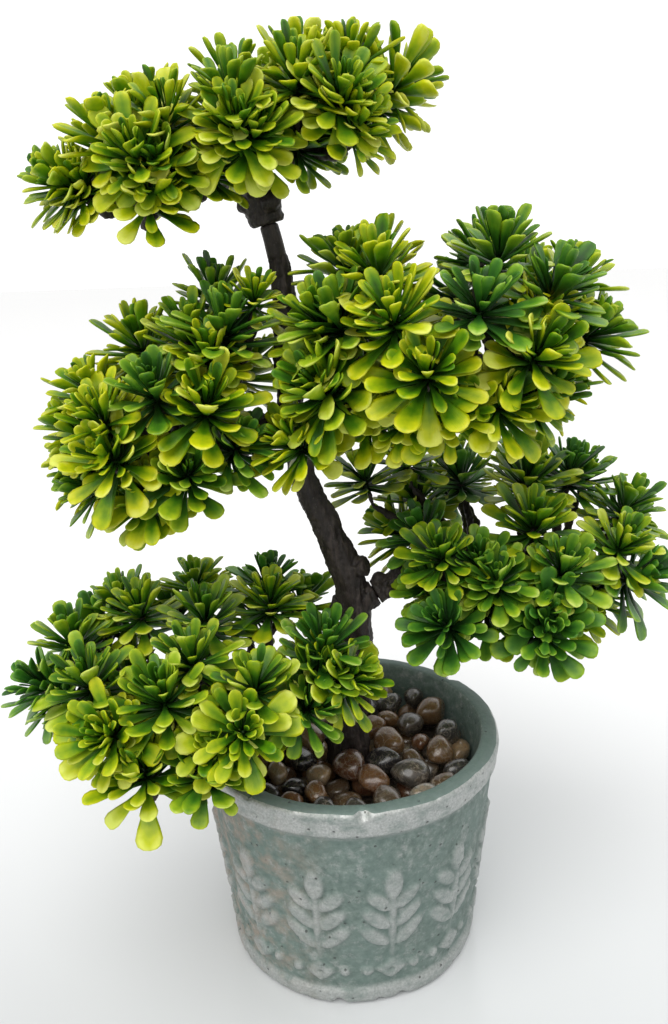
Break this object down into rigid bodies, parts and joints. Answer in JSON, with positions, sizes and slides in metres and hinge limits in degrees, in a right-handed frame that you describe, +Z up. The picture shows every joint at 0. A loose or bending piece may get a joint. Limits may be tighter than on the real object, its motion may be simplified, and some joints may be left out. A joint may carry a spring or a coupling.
{
  "type": "artificial tabletop tree",
  "caption": "Small artificial bonsai-style tree: a bent plastic trunk with rounded pads of waxy leaves on swivelling boughs, set in a banded cement pot topped with glued pebbles.",
  "frame": {"origin": "centre of the pot's flat underside, on the surface it stands on", "axes": "+Z up along the pot's axis; -Y towards the viewer's side, the front; +X to the right as seen from the front"},
  "size_m": [0.2117, 0.1235, 0.2848],
  "materials": {
    "cement": "matt grey-green glazed cement with silver dry-brushing on the bands",
    "foam": "matt rigid foam",
    "pebbles": "polished, glued",
    "bark": "satin, moulded bark ridges",
    "wire": "bare drawn wire",
    "leaf": "soft waxy sheen, yellow-green tips"
  },
  "bodies": {
    "pot_and_trunk": {"pot": "cement", "foam_block": "foam", "pebble_layer": "pebbles", "trunk_lower": "bark", "trunk_upper": "bark", "trunk_wire": "wire"},
    "low_left_bough": {"bough_low_left": "bark", "leaf_head_low_left_00": "leaf", "leaf_head_low_left_01": "leaf", "leaf_head_low_left_02": "leaf", "leaf_head_low_left_03": "leaf", "leaf_head_low_left_04": "leaf", "leaf_head_low_left_05": "leaf", "leaf_head_low_left_06": "leaf", "leaf_head_low_left_07": "leaf", "leaf_head_low_left_08": "leaf", "leaf_head_low_left_09": "leaf"},
    "low_right_bough": {"bough_low_right": "bark", "leaf_head_low_right_00": "leaf", "leaf_head_low_right_01": "leaf", "leaf_head_low_right_02": "leaf", "leaf_head_low_right_03": "leaf", "leaf_head_low_right_04": "leaf", "leaf_head_low_right_05": "leaf", "leaf_head_low_right_06": "leaf", "leaf_head_low_right_07": "leaf", "leaf_head_low_right_08": "leaf", "leaf_head_low_right_09": "leaf"},
    "mid_left_bough": {"bough_mid_left": "bark", "leaf_head_mid_left_00": "leaf", "leaf_head_mid_left_01": "leaf", "leaf_head_mid_left_02": "leaf", "leaf_head_mid_left_03": "leaf", "leaf_head_mid_left_04": "leaf", "leaf_head_mid_left_05": "leaf", "leaf_head_mid_left_06": "leaf", "leaf_head_mid_left_07": "leaf"},
    "mid_right_bough": {"bough_mid_right": "bark", "leaf_head_mid_right_00": "leaf", "leaf_head_mid_right_01": "leaf", "leaf_head_mid_right_02": "leaf", "leaf_head_mid_right_03": "leaf", "leaf_head_mid_right_04": "leaf", "leaf_head_mid_right_05": "leaf", "leaf_head_mid_right_06": "leaf", "leaf_head_mid_right_07": "leaf", "leaf_head_mid_right_08": "leaf", "leaf_head_mid_right_09": "leaf", "leaf_head_mid_right_10": "leaf"},
    "crown_bough": {"bough_crown": "bark", "leaf_head_crown_00": "leaf", "leaf_head_crown_01": "leaf", "leaf_head_crown_02": "leaf", "leaf_head_crown_03": "leaf", "leaf_head_crown_04": "leaf", "leaf_head_crown_05": "leaf", "leaf_head_crown_06": "leaf", "leaf_head_crown_07": "leaf", "leaf_head_crown_08": "leaf", "leaf_head_crown_09": "leaf"}
  },
  "joints": [
    {"name": "low_left_swivel", "type": "hinge", "parent": "pot_and_trunk", "child": "low_left_bough", "pos_m": [-0.00425, -0.00357, 0.09193], "axis": [-0.7798, -0.4679, 0.4159], "range_deg": [-12, 12]},
    {"name": "low_right_swivel", "type": "hinge", "parent": "pot_and_trunk", "child": "low_right_bough", "pos_m": [0.01006, 0.00218, 0.12202], "axis": [0.8821, 0.1654, 0.441], "range_deg": [-12, 12]},
    {"name": "mid_left_swivel", "type": "hinge", "parent": "pot_and_trunk", "child": "mid_left_bough", "pos_m": [-0.01807, -0.00146, 0.17781], "axis": [-0.9805, -0.109, -0.1634], "range_deg": [-12, 12]},
    {"name": "mid_right_swivel", "type": "hinge", "parent": "pot_and_trunk", "child": "mid_right_bough", "pos_m": [-0.0093, -0.00218, 0.19363], "axis": [0.9428, -0.2357, 0.2357], "range_deg": [-12, 12]},
    {"name": "crown_swivel", "type": "hinge", "parent": "pot_and_trunk", "child": "crown_bough", "pos_m": [-0.0174, 0, 0.2356], "axis": [-0.2425, 0, 0.9701], "range_deg": [-12, 12]}
  ]
}
